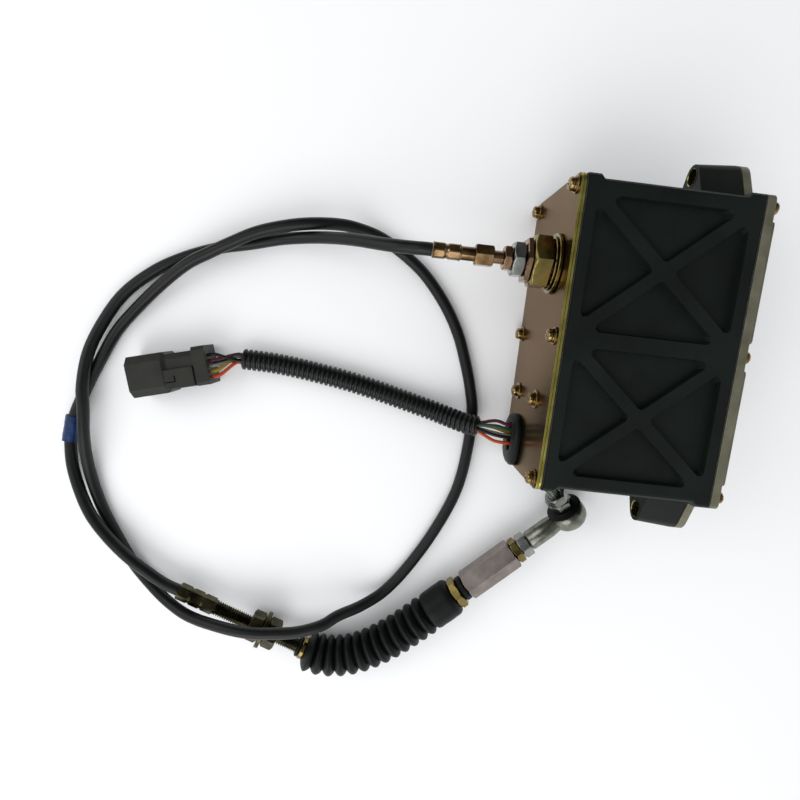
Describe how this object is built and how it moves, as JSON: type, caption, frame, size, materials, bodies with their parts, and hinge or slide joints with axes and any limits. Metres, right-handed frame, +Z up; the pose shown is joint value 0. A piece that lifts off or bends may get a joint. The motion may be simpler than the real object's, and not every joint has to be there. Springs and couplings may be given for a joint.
{
  "type": "engine governor actuator",
  "caption": "Cast electric actuator that pushes and pulls a control cable ending in a bellows and a ball-joint rod end, with a wired connector.",
  "frame": {"origin": "centre of the housing's base, on its rest face", "axes": "+X towards the back cover, +Y along the housing's long side, +Z up through the ribbed lid; the cable and the wires leave towards -X"},
  "size_m": [0.3818, 0.3381, 0.082],
  "materials": {
    "black_casting": "fine-textured black coating on die-cast aluminium",
    "tan_casting": "dull tan-grey cast aluminium",
    "yellow_zinc": "yellow iridescent zinc plating",
    "gold_zinc": "golden zinc plating",
    "bright_zinc": "bright zinc plating",
    "dull_steel": "plain steel",
    "olive_zinc": "dark olive zinc plating",
    "aluminium": "satin aluminium",
    "rubber": "matt black rubber",
    "cable_jacket": "black cable jacket",
    "connector_plastic": "dark grey moulded plastic",
    "gear_plastic": "natural engineering plastic",
    "gasket": "black gasket sheet",
    "blue_tape": "blue tape"
  },
  "bodies": {
    "case": {"housing": "black_casting", "lug_bush_upper": "bright_zinc", "lug_bush_lower": "bright_zinc", "end_plate": "yellow_zinc", "plate_gasket": "gasket", "back_cover": "tan_casting", "cover_gasket": "gasket", "gland_body": "yellow_zinc", "gland_inner_nut": "yellow_zinc", "gland_washer": "yellow_zinc", "gland_shim": "gold_zinc", "star_washer": "dull_steel", "gland_nut": "gold_zinc", "cable_adapter": "yellow_zinc", "jam_nut": "bright_zinc", "lock_nut": "gold_zinc", "cable_hub": "gold_zinc", "near_ferrule": "gold_zinc", "chassis": "bright_zinc", "top_bearing_plate": "bright_zinc", "output_bushing_lower": "gold_zinc", "output_bushing_upper": "gold_zinc", "compound_bushing_lower": "gold_zinc", "compound_bushing_upper": "gold_zinc", "motor": "dull_steel", "position_sensor": "connector_plastic", "rack_guide": "bright_zinc", "control_cable": "cable_jacket", "tape_band": "blue_tape", "far_hub": "olive_zinc", "hub_nut_rear": "olive_zinc", "hub_washer": "olive_zinc", "hub_nut_front": "olive_zinc", "hub_seal": "rubber", "hub_ring": "gold_zinc", "grommet": "rubber", "grommet_wires": "cable_jacket", "conduit": "cable_jacket", "connector_wires": "cable_jacket", "connector_body": "connector_plastic"},
    "output_train": {"output_gear": "gear_plastic", "output_shaft": "bright_zinc"},
    "compound_train": {"compound_gear": "gear_plastic", "compound_shaft": "bright_zinc"},
    "motor_rotor": {"motor_pinion": "gold_zinc"},
    "rack_slide_body": {"rack": "bright_zinc", "core_rod": "bright_zinc"},
    "sliding_rod": {"rod_end": "bright_zinc", "rod_jam_nut": "bright_zinc", "barrel_nut": "gold_zinc", "barrel": "aluminium", "barrel_seal": "rubber", "boot_ring": "gold_zinc", "bellows": "rubber", "core_wire": "bright_zinc"},
    "stud_cover": {"stud_boot": "rubber"},
    "stud": {"ball_stud": "bright_zinc", "stud_nut": "bright_zinc"}
  },
  "joints": [
    {"name": "output_turn", "type": "hinge", "parent": "case", "child": "output_train", "pos_m": [0.007, 0.0225, 0.05], "axis": [0, 0, 1], "range_deg": [-114.5, 19]},
    {"name": "compound_turn", "type": "hinge", "parent": "case", "child": "compound_train", "pos_m": [0.01098, -0.01353, 0.05], "axis": [0, 0, 1], "range_deg": [-92, 550]},
    {"name": "motor_turn", "type": "hinge", "parent": "case", "child": "motor_rotor", "pos_m": [-0.00166, -0.0303, 0.05], "axis": [0, 0, 1], "range_deg": [-1760, 293]},
    {"name": "rack_slide", "type": "slide", "parent": "case", "child": "rack_slide_body", "axis": [-1, 0, 0], "range_m": [-0.024, 0.004]},
    {"name": "rod_slide", "type": "slide", "parent": "case", "child": "sliding_rod", "axis": [0.729, 0.6845, 0], "range_m": [-0.024, 0.004], "deforming": ["bellows", "core_wire"]},
    {"name": "stud_tilt", "type": "hinge", "parent": "sliding_rod", "child": "stud_cover", "pos_m": [-0.0038, -0.1108, 0.0131], "axis": [0.729, 0.6845, 0], "range_deg": [-12, 12], "deforming": ["stud_boot"]},
    {"name": "stud_spin", "type": "hinge", "parent": "stud_cover", "child": "stud", "pos_m": [-0.0038, -0.1108, 0.0131], "axis": [-0.658, 0.7007, 0.2756], "continuous": true}
  ],
  "couplings": [
    {"joint": "compound_turn", "follows": "output_turn", "ratio": -4.8},
    {"joint": "motor_turn", "follows": "output_turn", "ratio": 15.36},
    {"joint": "rack_slide", "follows": "output_turn", "m_per_rad": 0.012},
    {"joint": "rod_slide", "follows": "output_turn", "m_per_rad": 0.012}
  ]
}
